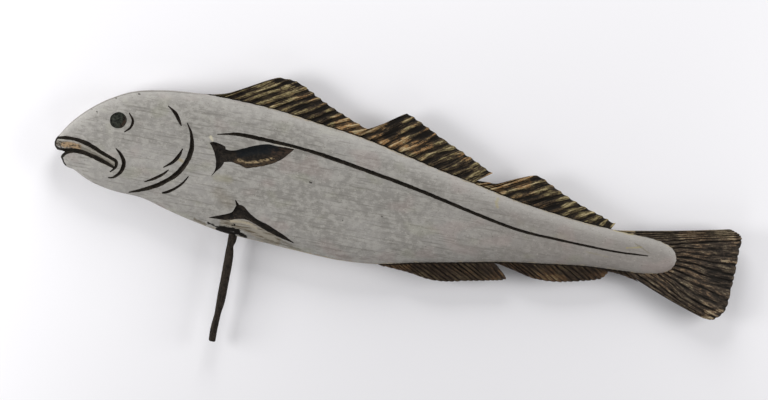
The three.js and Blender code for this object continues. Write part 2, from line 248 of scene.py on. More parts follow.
def hills(u, v, seed):
    """Smooth seeded hills from -1 to 1: random heights at whole u and v, eased into each other."""
    heights = np.random.default_rng(seed).uniform(-1, 1, HILL_GRID)
    u, v = np.broadcast_arrays(np.asarray(u, float), np.asarray(v, float))
    i, j = np.floor(u).astype(int), np.floor(v).astype(int)
    s, t = u - i, v - j
    s, t = s * s * (3 - 2 * s), t * t * (3 - 2 * t)

    def at(di, dj):
        return heights[(i + di) % HILL_GRID[0], (j + dj) % HILL_GRID[1]]

    return (at(0, 0) * (1 - s) + at(1, 0) * s) * (1 - t) + (at(0, 1) * (1 - s) + at(1, 1) * s) * t


# The faces of the plank

OUTLINE = spline_rows(BODY, 12)


def belly_at(x):
    """The outline's lower edge."""
    return np.interp(x, OUTLINE[:, 0], OUTLINE[:, 1])


def back_at(x):
    """The outline's upper edge."""
    return np.interp(x, OUTLINE[:, 0], OUTLINE[:, 2])


def plank_half(x):
    """Half thickness: a quarter sine up to the full plank over the head, a quarter cosine down."""
    head = np.sin(np.clip(x / HEAD_LENGTH, 0, 1) * math.pi / 2)
    tail = np.cos(np.clip((x - TAPER_FROM) / (TONGUE_X - TAPER_FROM), 0, 1) * math.pi / 2)
    return SNOUT_HALF + (PLANK_HALF - SNOUT_HALF) * head - (PLANK_HALF - TONGUE_HALF) * (1 - tail)


def round_over(share):
    """A superellipse's quarter: 0 at the edge, 1 from one width in."""
    rest = 1 - np.clip(share, 0, 1)
    return (1 - rest ** SHOULDER_POWER) ** (1 / SHOULDER_POWER)


def shoulder_at(x):
    """How wide the rounded shoulders are: a share of half the height, up to a greatest width."""
    width = SHOULDER_SHARE * (back_at(x) - belly_at(x)) / 2
    return np.clip(width, 1e-6, SHOULDER_WIDTH)


def face_height(x, y):
    """How far the carved face stands from the middle of the plank: the half thickness rounded over
    at the outline and the ends, less the hollows of the drawknife and the scraper."""
    ends = round_over((x - SNOUT_X) / SNOUT_ROUNDING) * round_over((TONGUE_X - x) / TONGUE_ROUNDING)
    inset = np.minimum(y - belly_at(x), back_at(x) - y)
    height = plank_half(x) * round_over(inset / shoulder_at(x)) * ends
    hollow = DRAWKNIFE_HOLLOW * (1 + hills(x / 46 + 0.3 * hills(x / 20, y / 9, 3), y / 17, 4))
    hollow += SCRAPER_MARK * (1 + hills(x / 19, y / 6.5, 5))
    return height * (1 - hollow / PLANK_HALF)


# Closed meshes

WELD = 0.002 * MM  # points closer than this are made one


def closed_mesh(name, rings, place, finish, caps="ladder", smooth=True):
    """A skin over rings of points in mm, as one closed mesh. Rings at both ends that are a single
    point close by themselves; others get a ladder of faces from their first and last points
    inwards, or one flat face. `place` is kept on the face corners for the finish to read."""
    count, around = rings.shape[:2]
    ring, spot = np.meshgrid(np.arange(count - 1), np.arange(around), indexing="ij")
    here, beside = ring * around + spot, ring * around + (spot + 1) % around
    faces = np.stack([here, beside, beside + around, here + around], axis=-1).reshape(-1, 4).tolist()
    last = (count - 1) * around
    if caps == "ladder":
        for j in range(around // 2 - 1):
            rung = [j, j + 1, around - 2 - j, around - 1 - j]
            faces += [rung[::-1], [last + k for k in rung]]
    elif caps == "face":
        faces += [list(range(around))[::-1], [last + k for k in range(around)]]
    mesh = bpy.data.meshes.new(name)
    mesh.from_pydata(settle(rings.reshape(-1, 3)), [], faces)
    corners = np.zeros(len(mesh.loops), int)
    mesh.loops.foreach_get("vertex_index", corners)
    layer = mesh.attributes.new("place", "FLOAT_VECTOR", "CORNER")
    layer.data.foreach_set("vector", place.reshape(-1, 3)[corners].ravel())
    work = bmesh.new()
    work.from_mesh(mesh)
    bmesh.ops.remove_doubles(work, verts=work.verts, dist=WELD)
    bmesh.ops.recalc_face_normals(work, faces=work.faces)
    work.to_mesh(mesh)
    work.free()
    mesh.materials.append(finish)
    mesh.polygons.foreach_set("use_smooth", np.full(len(mesh.polygons), smooth))
    piece = bpy.data.objects.new(name, mesh)
    bpy.context.scene.collection.objects.link(piece)
    return piece


def body(finish):
    """Ribs across the plank: up the left face from belly to back and down the right face, closest
    together where the shoulders are rounded over."""
    rows = even_rows(BODY, BODY_RIBS)
    width = shoulder_at(rows[:, 0])[:, None]
    low = width * (1 - np.cos(np.arange(SHOULDER_STEPS + 1) * math.pi / 2 / SHOULDER_STEPS))
    belly, back = rows[:, 1:2], rows[:, 2:3]
    middle = np.arange(1, FLANK_STEPS) / FLANK_STEPS
    y = np.concatenate([
        belly + low, (belly + width) * (1 - middle) + (back - width) * middle, back - low[:, ::-1]], axis=1)
    x = np.broadcast_to(rows[:, :1], y.shape)
    z = face_height(x, y)
    left = np.stack([x, y, z], axis=-1)
    right = left[:, -2:0:-1] * np.array([1, 1, -1])
    rings = np.concatenate([left, right], axis=1)
    place = np.stack([rings[..., 0], back - rings[..., 1], rings[..., 1] - belly], axis=-1)
    return closed_mesh("carved_body", rings, place, finish, caps=None)


def fin(name, rows, rays, steps, ragged, narrow, root_half, tip_half, bare_from, number, finish):
    """Rays side by side, each a curve from root to tip. The slab thins from root to edge. Across the
    rays it is grooved as |sin(pi * ray)| to a power, or as what that leaves of 1 where the grooves
    are narrow, wandering a little, with finer gouge lines along each ray. Its edge is notched at the
    grooves and rounded over. The face corners keep the ray's number, the distance from the body in
    mm and the depth of the cut in mm."""
    per_ray = NARROW_RAY_COLUMNS if narrow else BROAD_RAY_COLUMNS
    columns = per_ray * (rays - 1)
    rows = even_rows(rows, columns)[:, None, :]
    root, tip = rows[..., 0:2], rows[..., 2:4]
    middle = (root + tip) / 2 - np.stack([np.zeros_like(rows[..., 4]), rows[..., 4]], axis=-1)
    length = np.linalg.norm(tip - root, axis=-1)
    ray = np.arange(columns + 1)[:, None] / per_ray
    along = np.linspace(0, 1, steps + 1)[None, :]
    seed = 100 * number
    wander = 0.24 * hills(ray * 0.7, along * length / 38, seed + 1)
    wander += 0.10 * hills(ray * 2.1, along * length / 17, seed + 7)
    across = np.abs(np.sin(math.pi * (ray + wander)))
    groove = (1 - across) ** 1.5 if narrow else across ** 1.4
    fine = np.abs(np.sin(math.pi * (3.2 * ray + 0.8 * hills(ray * 1.3, along * length / 30, seed + 2))))
    fine = (1 - fine) ** 1.5
    reach = EDGE_SCALLOP * groove[:, -1:] + 0.5 * ragged * (1 + hills(ray * 2.6, 0.5, seed + 3))
    share = along * (1 - np.clip(reach / length, 0, 0.5))
    s = share[..., None]
    point = root * (1 - s) ** 2 + 2 * middle * s * (1 - s) + tip * s ** 2
    distance = share * length
    half = root_half + (tip_half - root_half) * share
    deep = 1 + 0.45 * hills(ray * 0.9, distance / 32, seed + 4)
    cut = RAY_GROOVE * deep * groove
    cut = cut + FINE_GROOVE * fine * (1 + 0.5 * hills(ray * 3, distance / 24, seed + 6))
    cut += 0.9 * ragged * (1 + hills(ray * 4.6, distance / 9, seed + 5)) / 2
    inset = np.clip((length * (1 - along)) / EDGE_ROUNDING, 0, 1)
    rim = 0.3 + 0.7 * np.sqrt(1 - (1 - inset) ** 2)
    half = np.maximum(half - np.minimum(cut, DEEPEST_SHARE * half), LEAST_HALF) * rim
    left = np.concatenate([point, half[..., None]], axis=-1)
    right = left[:, ::-1] * np.array([1, 1, -1])
    kept = np.stack([ray + wander + 100 * number, distance - bare_from, cut], axis=-1)
    return closed_mesh(name, np.concatenate([left, right], axis=1),
                       np.concatenate([kept, kept[:, ::-1]], axis=1), finish)


def rooted(keys, edge):
    """Key rays of a back or belly fin, each started inside the body a little way down its line."""
    keys = np.array(keys, float)
    root = np.stack([keys[:, 0], (back_at if edge == "back" else belly_at)(keys[:, 0])], axis=1)
    tip = keys[:, 1:3]
    step = root - tip
    root = root + FIN_EMBED * step / np.linalg.norm(step, axis=1, keepdims=True)
    return np.concatenate([root, tip, np.zeros((len(keys), 1))], axis=1)


# Cuts into the faces


def trough(name, middle, reach, share, bed, depth, along, number, finish, side):
    """A cut along a path: at each station the bed is the face's height less the depth times `bed`,
    carried on upwards past both rims, under a lid that clears the face."""
    spot = middle[:, None, :] + reach[:, None, :] * share[None, :, None]
    face = face_height(spot[..., 0], spot[..., 1])
    low = face - depth[:, None] * bed
    high = np.maximum(face, low) + LID_CLEARANCE
    bottom = np.concatenate([spot, low[..., None]], axis=-1)
    lid = np.concatenate([spot, high[..., None]], axis=-1)[:, ::-1]
    kept = np.stack([np.broadcast_to(share, low.shape), np.broadcast_to(along[:, None], low.shape),
                     np.full(low.shape, float(number))], axis=-1)
    rings = np.concatenate([bottom, lid], axis=1) * np.array([1, 1, side])
    return closed_mesh(name, rings, np.concatenate([kept, kept[:, ::-1]], axis=1), finish)


def stroke(name, keys, number, finish, side):
    """A gouge cut: a V with a rounded bottom, 1 - |share| ^ 1.4 deep, whose rims waver a little."""
    span = np.linalg.norm(np.diff(spline_rows(keys, 8)[:, :2], axis=0), axis=1).sum()
    rows = even_rows(keys, max(6, int(span / STROKE_STEP)), columns=2)
    heading = np.gradient(rows[:, :2], axis=0)
    across = np.stack([-heading[:, 1], heading[:, 0]], axis=1)
    across /= np.linalg.norm(across, axis=1, keepdims=True)
    along = np.linspace(0, span, len(rows))
    seed = 31 * number + (0 if side > 0 else 7)
    waver = 1 + 0.09 * hills(along / 3.4, 0.5, seed) + 0.1 * hills(along / 14, 0.5, seed + 1)
    width = (rows[:, 2] + BROKEN_RIM) * waver
    drift = 0.06 * rows[:, 2] * hills(along / 4.1, 1.5, seed + 2)
    middle = rows[:, :2] + across * drift[:, None]
    share = np.array([-1.4, -1, -0.72, -0.42, -0.15, 0.15, 0.42, 0.72, 1, 1.4])
    bed = 1 - np.abs(share) ** 1.4
    depth = STROKE_DEPTH_SHARE * rows[:, 2] * (1 + 0.12 * hills(along / 9, 2.5, seed))
    return trough(name, middle, across * width[:, None] / 2, share, bed, depth, along, number, finish, side)


def recess(name, run, floor, deepest, rows, number, finish, side):
    """A wider cut between two borders: the bed falls steeply to the floor and comes up in a long
    slope with the gouge's own ridges, and its depth goes with the root of its width."""
    rows = spline_rows(rows, RECESS_STEPS)
    place, first, second = rows.T
    wide = np.abs(first - second)
    waver = 0.012 * wide + 0.25
    seed = 57 * number + (0 if side > 0 else 9)
    first = first + waver * hills(place / 4.2, 0.5, seed)
    second = second + waver * hills(place / 4.2, 1.5, seed)
    share = np.concatenate([[-0.12], np.linspace(0, 1, 15), [1.12]])
    down = np.sign(share) * np.abs(share / floor) ** 0.7
    up = np.sign(1 - share) * np.abs((1 - share) / (1 - floor)) ** 0.9
    bed = np.minimum(np.minimum(down, up), 1)[None, :]
    inside = np.clip(4 * np.minimum(share, 1 - share), 0, 1)[None, :]
    bed = bed + 0.10 * inside * hills(place[:, None] / 26, share[None, :] * 7, seed + 3)
    middle = (first + second) / 2
    axis = 0 if run == "x" else 1
    centre = np.zeros((len(rows), 2))
    reach = np.zeros((len(rows), 2))
    centre[:, axis], centre[:, 1 - axis] = place, middle
    reach[:, 1 - axis] = (second - first) / 2
    depth = deepest * np.sqrt(wide / wide.max())
    return trough(name, centre - reach, 2 * reach, share, bed, depth, place, number, finish, side)


def eye_cut(finish, side):
    """A dish with a steep wall and a low dome for its floor: rings from the middle out and up."""
    profile = np.array([
        (0, -0.50), (2.5, -0.52), (5, -0.62), (7.6, -0.80), (9.6, -1.0), (10.8, -0.95), (11.7, -0.62),
        (12.5, 0.0), (13.1, 0.62), (13.8, 1.5), (0, 1.5)])
    angle = np.linspace(0, 2 * math.pi, EYE_SIDES + 1)[:-1]
    uneven = 1 + 0.018 * np.sin(2 * angle + 0.7) + 0.012 * np.sin(5 * angle)
    radius = profile[:, :1] * uneven
    face = face_height(np.array(EYE[0]), np.array(EYE[1]))
    rings = np.stack([
        EYE[0] + radius * np.cos(angle), EYE[1] + radius * np.sin(angle),
        side * (face + EYE_DEPTH * np.broadcast_to(profile[:, 1:], radius.shape))], axis=-1)
    place = np.stack([radius / EYE_RADIUS, np.broadcast_to(angle, radius.shape), radius * 0], axis=-1)
    return closed_mesh("eye_cut", rings, place, finish, caps=None)


def mouth_cut(finish):
    """The slit between the lips, sawn right through at the snout, with a slightly wavering wall."""
    level = np.linspace(-PLANK_HALF, PLANK_HALF, MOUTH_LEVELS)
    corner = np.array(MOUTH_NOTCH, float)
    rings = np.zeros((len(level), len(corner), 3))
    rings[..., 0] = corner[:, 0] + 0.35 * hills(level[:, None] / 6, corner[:, 1] / 3, 71)
    rings[..., 1] = corner[:, 1] + 0.25 * hills(level[:, None] / 6, corner[:, 0] / 4, 72)
    rings[..., 2] = level[:, None]
    return closed_mesh("mouth_cut", rings, np.zeros_like(rings), finish, caps="face", smooth=False)


def rod_rings(rows, sides, rough):
    """Round sections along y, their radius roughened by rust."""
    angle = np.linspace(0, 2 * math.pi, sides + 1)[:-1]
    y, x, radius = (column[:, None] for column in np.asarray(rows, float).T)
    pits = hills(y / 2.6, angle * 12 / (2 * math.pi), 81) + 0.8 * hills(y / 9, angle * 5 / (2 * math.pi), 82)
    radius = radius * (1 - rough * (1 + pits / 1.8) / 2)
    grid = np.broadcast_to(y, radius.shape)
    return np.stack([x + radius * np.cos(angle), grid, radius * np.sin(angle)], axis=-1)


def bore_cut(finish):
    """The straight round bore for the rod, open below and flat at its blind end."""
    radius = ROD_WALL_RADIUS + BORE_GAP
    rows = [(ROD_BELLY - BORE_START, ROD_X, radius), (ROD_TOP + BORE_GAP, ROD_X, radius)]
    rings = rod_rings(rows, BORE_SIDES, 0.0)
    return closed_mesh("bore_cut", rings, np.zeros_like(rings), finish, caps="face")


# Joining


def join(piece, other, operation):
    """Adds or cuts away another closed mesh, whose faces keep their own finish and place."""
    change = piece.modifiers.new(other.name, "BOOLEAN")
    change.object = other
    change.operation = operation
    change.solver = "MANIFOLD"
    change.material_mode = "TRANSFER"
    bpy.context.view_layer.objects.active = piece
    bpy.ops.object.modifier_apply(modifier=change.name)
    spent = other.data
    bpy.data.objects.remove(other)
    bpy.data.meshes.remove(spent)


def keep_one_shell(piece):
    """Deletes the crumbs that joining leaves, which no edge ties to the piece's one large shell."""
    work = bmesh.new()
    work.from_mesh(piece.data)
    unseen = set(work.faces)
    shells = []
    while unseen:
        shell = [unseen.pop()]
        for face in shell:
            beside = {other for edge in face.edges for other in edge.link_faces} & unseen
            unseen -= beside
            shell.extend(beside)
        shells.append(shell)
    shells.sort(key=len)
    crumbs = [face for shell in shells[:-1] for face in shell]
    bmesh.ops.delete(work, geom=crumbs, context="FACES")
    work.to_mesh(piece.data)
    work.free()


# Finishes


def colour(code):
    """An sRGB hex value as linear red, green, blue and alpha."""
    parts = [int(code[k:k + 2], 16) / 255 for k in (1, 3, 5)]
    return tuple(c / 12.92 if c <= 0.04045 else ((c + 0.055) / 1.055) ** 2.4 for c in parts) + (1.0,)


def add(tree, kind, inputs=None, **settings):
    """One node: `inputs` gives sockets, by name or number, a value or the output that feeds them."""
    node = tree.nodes.new(kind)
    for name, value in settings.items():
        setattr(node, name, value)
    for key, value in (inputs or {}).items():
        live = [socket for socket in node.inputs if socket.enabled]
        socket = live[key] if isinstance(key, int) else next(s for s in live if s.name == key)
        if isinstance(value, bpy.types.NodeSocket):
            tree.links.new(value, socket)
        else:
            socket.default_value = value
    return next(socket for socket in node.outputs if socket.enabled)


def start_material(name, roughness, specular):
    """A material with its shader, and the plank's own places in mm for its patterns."""
    material = bpy.data.materials.new(name)
    material.use_nodes = True
    tree = material.node_tree
    shader = tree.nodes["Principled BSDF"]
    shader.inputs["Roughness"].default_value = roughness
    shader.inputs["Specular IOR Level"].default_value = specular
    place = add(tree, "ShaderNodeTexCoord").node.outputs["Object"]
    origin = tuple(-PLANK_ORIGIN)
    plank = add(tree, "ShaderNodeMapping", {"Vector": place, "Scale": (1 / MM,) * 3, "Location": origin})
    return material, tree, shader, plank


def pattern(tree, at, size, detail=3.0, roughness=0.55, offset=0.0):
    """Noise from about 0.3 to 0.7, whose lumps are `size` mm along x, y and z."""
    scale = tuple(1 / s for s in size)
    spot = add(tree, "ShaderNodeMapping", {"Vector": at, "Scale": scale, "Location": (offset,) * 3})
    return add(tree, "ShaderNodeTexNoise", {
        "Vector": spot, "Scale": 1.0, "Detail": detail, "Roughness": roughness})


def coat(tree, below, above, value, low, high, most=1.0):
    """One colour laid over another, from none of it where a value is `low` to `most` at `high`."""
    mask = add(tree, "ShaderNodeMapRange", {
        "Value": value, "From Min": low, "From Max": high, "To Min": 0.0, "To Max": most},
        interpolation_type="SMOOTHSTEP")
    return add(tree, "ShaderNodeMix", {"Factor": mask, "A": below, "B": above}, data_type="RGBA")


def from_path(tree, spot, points):
    """How far in mm a spot is from a path of x and y through the middle of the plank."""
    nearest = None
    for start, end in zip(points, points[1:] if len(points) > 1 else points):
        start, end = Vector((*start, 0)), Vector((*end, 0))
        run = end - start
        offset = add(tree, "ShaderNodeVectorMath", {0: spot, 1: tuple(start)}, operation="SUBTRACT")
        if run.length > 0:
            unit = tuple(run / run.length_squared)
            share = add(tree, "ShaderNodeVectorMath", {0: offset, 1: unit}, operation="DOT_PRODUCT")
            share = add(tree, "ShaderNodeClamp", {"Value": share})
            reach = add(tree, "ShaderNodeVectorMath", {0: tuple(run), "Scale": share}, operation="SCALE")
            offset = add(tree, "ShaderNodeVectorMath", {0: offset, 1: reach}, operation="SUBTRACT")
        away = add(tree, "ShaderNodeVectorMath", {0: offset}, operation="LENGTH")
        if nearest is None:
            nearest = away
        else:
            nearest = add(tree, "ShaderNodeMath", {0: nearest, 1: away}, operation="MINIMUM")
    return nearest


def flattened(tree, at, fray):
    """Two spots for `from_path`, for marks on both faces and for marks on the left face alone, pushed
    about by a noise of up to `fray` mm so that the marks fray."""
    part = add(tree, "ShaderNodeSeparateXYZ", {0: at}).node.outputs
    behind = add(tree, "ShaderNodeMath", {0: part["Z"], 1: 0.0}, operation="MINIMUM")
    push = pattern(tree, at, (5, 3, 3), detail=4, roughness=0.7, offset=17.9).node.outputs["Color"]
    push = add(tree, "ShaderNodeVectorMath", {0: push, 1: (0.5, 0.5, 0.5)}, operation="SUBTRACT")
    push = add(tree, "ShaderNodeVectorMath", {0: push, 1: (fray, fray, 0)}, operation="MULTIPLY")
    spots = []
    for level in (0.0, behind):
        flat = add(tree, "ShaderNodeCombineXYZ", {"X": part["X"], "Y": part["Y"], "Z": level})
        spots.append(add(tree, "ShaderNodeVectorMath", {0: flat, 1: push}, operation="ADD"))
    return spots


def attribute(tree, name):
    """The parts of a vector kept on the face corners."""
    kept = add(tree, "ShaderNodeAttribute", attribute_name=name).node
    return add(tree, "ShaderNodeSeparateXYZ", {0: kept.outputs["Vector"]}).node.outputs


def finish_with(tree, shader, tone, heights):
    """The shader's colour, and its bumps from a list of height and depth in mm, summed."""
    tree.links.new(tone, shader.inputs["Base Color"])
    total = None
    for height, depth in heights:
        raised = add(tree, "ShaderNodeMath", {0: height, 1: depth}, operation="MULTIPLY")
        total = raised if total is None else add(tree, "ShaderNodeMath", {0: total, 1: raised})
    bump = add(tree, "ShaderNodeBump", {"Height": total, "Distance": MM, "Strength": 1.0})
    tree.links.new(bump, shader.inputs["Normal"])


# Small marks on the left face: path, half width, softness, colour and strength of each
MARKS = [
    ([(52, 60)], 0.9, 0.9, "#2c2822", 0.9), ([(43, 62)], 0.5, 0.8, "#3a352d", 0.9),
    ([(107, 97), (109, 97)], 0.6, 0.9, "#2c2822", 0.9),
    ([(380, 16), (382, 16.6)], 0.9, 0.8, "#26221d", 0.9),
    ([(132, 67)], 0.5, 0.9, "#5b564d", 0.8), ([(75.5, 85)], 0.5, 0.8, "#4a443b", 0.8),
    ([(438, -30)], 0.7, 0.8, "#2f2b25", 0.9), ([(493, -13), (494, -13.5)], 0.5, 0.8, "#3c3831", 0.8),
    ([(657, 45), (655, 38), (658, 33)], 0.5, 3.0, "#a09566", 0.45),
    ([(250, -24), (268, -36)], 1.0, 14, "#6f6450", 0.3),
    ([(243, -2), (262, -2)], 1.0, 8, "#8f8a6c", 0.35),
    ([(223.5, 54.5), (227, 51)], 0.5, 2.6, "#c9c2a8", 0.7),
    ([(182, 14), (189, 12)], 0.6, 3.0, "#8f8052", 0.5),
    ([(856, 9), (878, 14)], 0.3, 1.4, "#a3975f", 0.5),
    ([(868, 18), (890, 8)], 0.3, 1.2, "#6f684f", 0.5),
    ([(800, -8), (832, -9)], 0.3, 1.4, "#8a8471", 0.5),
    ([(861, 33), (836, 34)], 2.2, 3.4, "#b5a87c", 0.8),
    ([(223, -69), (240, -73.5)], 0.6, 2.0, "#5d5340", 0.7),
    ([(330, -78), (385, -84)], 0.3, 1.4, "#5d5649", 0.6),
    ([(318, 61.8), (345, 62)], 0.3, 1.0, "#c2bba9", 0.6),
    ([(345, -73), (372, -81)], 0.3, 1.4, "#6a6356", 0.6),
]

# Painted shade: near-black patches where the rod enters the worn patch, on the left face: path and half
# width of each
ROD_SHADE_PATCHES = [
    ([(262, -73.4), (289, -73.5)], 2.3), ([(286, -76), (301, -80)], 2.0),
    ([(258, -76.8), (284, -79.5)], 1.9), ([(279, -66.5), (283, -65.8)], 0.6),
    ([(243, -70.5), (262, -74)], 0.5),
]

# Black paint round the lips, on both faces: path and half width of each
MOUTH_OUTLINE = [
    ([(2, 12), (-0.6, 8), (-0.7, 1), (2.5, -3.0)], 1.0), ([(2.5, -3.2), (8, -4.4), (17, -3.6)], 1.5),
    ([(26, -4.6), (18.5, -7.8), (14.6, -12)], 2.0), ([(14.6, -12), (13.2, -16.5), (15.2, -21)], 1.5),
    ([(15.2, -21), (20.2, -26.4)], 1.0),
]


def grey_paint():
    """Old matt oil paint brushed over a planed plank: mid grey, mottled, faintly streaked along the
    grain, warmer towards the tail, chalky and lighter towards the back with a painted highlight there,
    worn to cream wood beside the fins, with specks and stains, a painted shadow line inside the head's
    upper edge, painted shade round the rod and a painted highlight on the lip's crest."""
    material, tree, shader, at = start_material("old_grey_oil_paint", 0.7, 0.12)
    kept = attribute(tree, "place")
    along, from_back, from_belly = kept["X"], kept["Y"], kept["Z"]
    left_face = flattened(tree, at, 7.0)[1]
    both_faces = flattened(tree, at, 2.0)[0]

    # The paint itself: clouds, mottling, brush streaks, and faint warm and mossy patches
    cloud = pattern(tree, at, (70, 42, 42), detail=4)
    streak = pattern(tree, at, (48, 2.6, 4), detail=4, roughness=0.6)
    mottle = pattern(tree, at, (9, 7, 7), detail=5, roughness=0.62, offset=7.3)
    blush = pattern(tree, at, (55, 38, 38), detail=1, offset=21.7)
    moss = pattern(tree, at, (44, 30, 30), detail=1, offset=55.1)
    tone = coat(tree, colour("#888580"), colour("#979490"), cloud, 0.36, 0.66)
    tone = coat(tree, tone, colour("#a8a59f"), mottle, 0.40, 0.64, 0.7)
    tone = coat(tree, tone, colour("#716e68"), streak, 0.50, 0.68, 0.6)
    tone = coat(tree, tone, colour("#837c77"), along, 480, 840, 0.6)
    tone = coat(tree, tone, colour("#9f8b87"), blush, 0.56, 0.70, 0.22)
    tone = coat(tree, tone, colour("#8c8d75"), moss, 0.58, 0.72, 0.2)
    # Painted highlight, with chalky paint: lighter over the rounded shoulder towards the back, where the
    # light falls
    tone = coat(tree, tone, colour("#bcb9b4"), from_back, 26, 1, 0.45)

    # Pinholes and chalky specks
    fleck = pattern(tree, at, (2.6, 1.7, 1.7), detail=3, roughness=0.7, offset=3.1)
    chalk = pattern(tree, at, (3.4, 2.2, 2.2), detail=3, roughness=0.7, offset=31.9)
    tone = coat(tree, tone, colour("#4d483f"), fleck, 0.60, 0.70, 0.65)
    tone = coat(tree, tone, colour("#c4c0b5"), chalk, 0.61, 0.71, 0.5)

    # Cream wood rubbed bare in a broken line on the edges, most of it beside the fins
    grain = pattern(tree, at, (30, 1.6, 1.6), detail=4, roughness=0.6, offset=9.7)
    wood = coat(tree, colour("#b9ae96"), colour("#85765c"), grain, 0.40, 0.62)
    broken = pattern(tree, at, (14, 5, 5), detail=4, roughness=0.65, offset=13.3)
    clear_of = []
    for inset, start, end, most, least in (
            (from_back, 190, 330, 5.5, 0.0), (from_belly, 180, 240, 4.0, 0.8)):
        spared = add(tree, "ShaderNodeMapRange", {
            "Value": along, "From Min": start, "From Max": end, "To Min": most, "To Max": least})
        clear_of.append(add(tree, "ShaderNodeMath", {0: inset, 1: spared}, operation="ADD"))
    edge = add(tree, "ShaderNodeMath", {0: clear_of[0], 1: clear_of[1]}, operation="MINIMUM")
    rubbed = add(tree, "ShaderNodeMath", {0: broken, 1: -16.0, 2: edge}, operation="MULTIPLY_ADD")
    tone = coat(tree, tone, wood, rubbed, -5.8, -7.6, 0.75)
    # Painted shade: a dark shadow line just inside the head's upper edge
    head = add(tree, "ShaderNodeMapRange", {
        "Value": along, "From Min": 170, "From Max": 215, "To Min": 0.55, "To Max": 0.0})
    off_line = add(tree, "ShaderNodeMath", {0: from_back, 1: 1.9}, operation="SUBTRACT")
    off_line = add(tree, "ShaderNodeMath", {0: off_line}, operation="ABSOLUTE")
    tone = coat(tree, tone, colour("#4a463e"), off_line, 1.0, 0.2, head)

    # The worn patch between the pelvic fin and the belly edge, with painted shade round the rod's entry
    bare = from_path(tree, left_face, [(268, -66), (296, -63), (322, -71), (346, -78)])
    patchy = add(tree, "ShaderNodeMapRange", {
        "Value": grain, "From Min": 0.36, "From Max": 0.56, "To Min": 0.25, "To Max": 0.9})
    worn = coat(tree, colour("#928a7a"), colour("#574c3b"), grain, 0.44, 0.60)
    tone = coat(tree, tone, worn, bare, 10.5, 5.5, patchy)
    cream = from_path(tree, left_face, [(277, -61.5), (289, -59), (303, -60.5), (314, -64.5)])
    tone = coat(tree, tone, colour("#b0a590"), cream, 3.2, 0.8, patchy)
    lower = from_path(tree, left_face, [(310, -66), (326, -72), (345, -76)])
    tone = coat(tree, tone, colour("#9a9488"), lower, 4.6, 1.4, patchy)
    # Painted shade round the rod's entry, in near-black patches
    for path, half_width in ROD_SHADE_PATCHES:
        rod_shade = from_path(tree, left_face, path)
        tone = coat(tree, tone, colour("#120e0a"), rod_shade, half_width + 1.3, half_width)

    # The lip between its two cuts: orange-brown wood behind a grimy tip, then grimy paint
    rag = pattern(tree, at, (5, 2.6, 2.6), detail=4, roughness=0.7, offset=71.2)
    lip_wood = coat(tree, colour("#9a8163"), colour("#2e2218"), rag, 0.46, 0.60)
    band = from_path(tree, left_face, [(12, 3.6), (24, 4.6), (35, 4)])
    grimy = from_path(tree, left_face, [(4, 4), (36, 4), (60, 0), (90, -10)])
    tone = coat(tree, tone, colour("#68635a"), grimy, 6.0, 3.0, 0.85)
    tone = coat(tree, tone, lip_wood, band, 6.0, 2.2, 0.85)
    tip = from_path(tree, left_face, [(2, 4), (10, 3)])
    specked = add(tree, "ShaderNodeMapRange", {"Value": rag, "From Min": 0.46, "From Max": 0.54})
    tone = coat(tree, tone, colour("#3b332a"), tip, 5.0, 2.0, specked)
    under = from_path(tree, left_face, [(4, -3), (16, -3.2), (30, -0.6)])
    tone = coat(tree, tone, colour("#241a10"), under, 3.0, 1.0, specked)
    # Painted highlight: a light streak along the crest of the lip between the two cuts
    ridge = from_path(tree, left_face, [(37, 8), (51.6, 3.6), (65, 0), (79, -5), (90.7, -10)])
    tone = coat(tree, tone, colour("#98948b"), ridge, 1.7, 0.4, 0.7)
    for path, half_width in MOUTH_OUTLINE:
        outline = from_path(tree, both_faces, path)
        tone = coat(tree, tone, colour("#16130f"), outline, half_width + 1.0, half_width)
    for path, half_width, soft, code, strength in MARKS:
        mark = from_path(tree, left_face, path)
        tone = coat(tree, tone, colour(code), mark, half_width + soft, half_width, strength)

    finish_with(tree, shader, tone, [(streak, 0.16), (fleck, 0.12), (mottle, 0.24)])
    return material


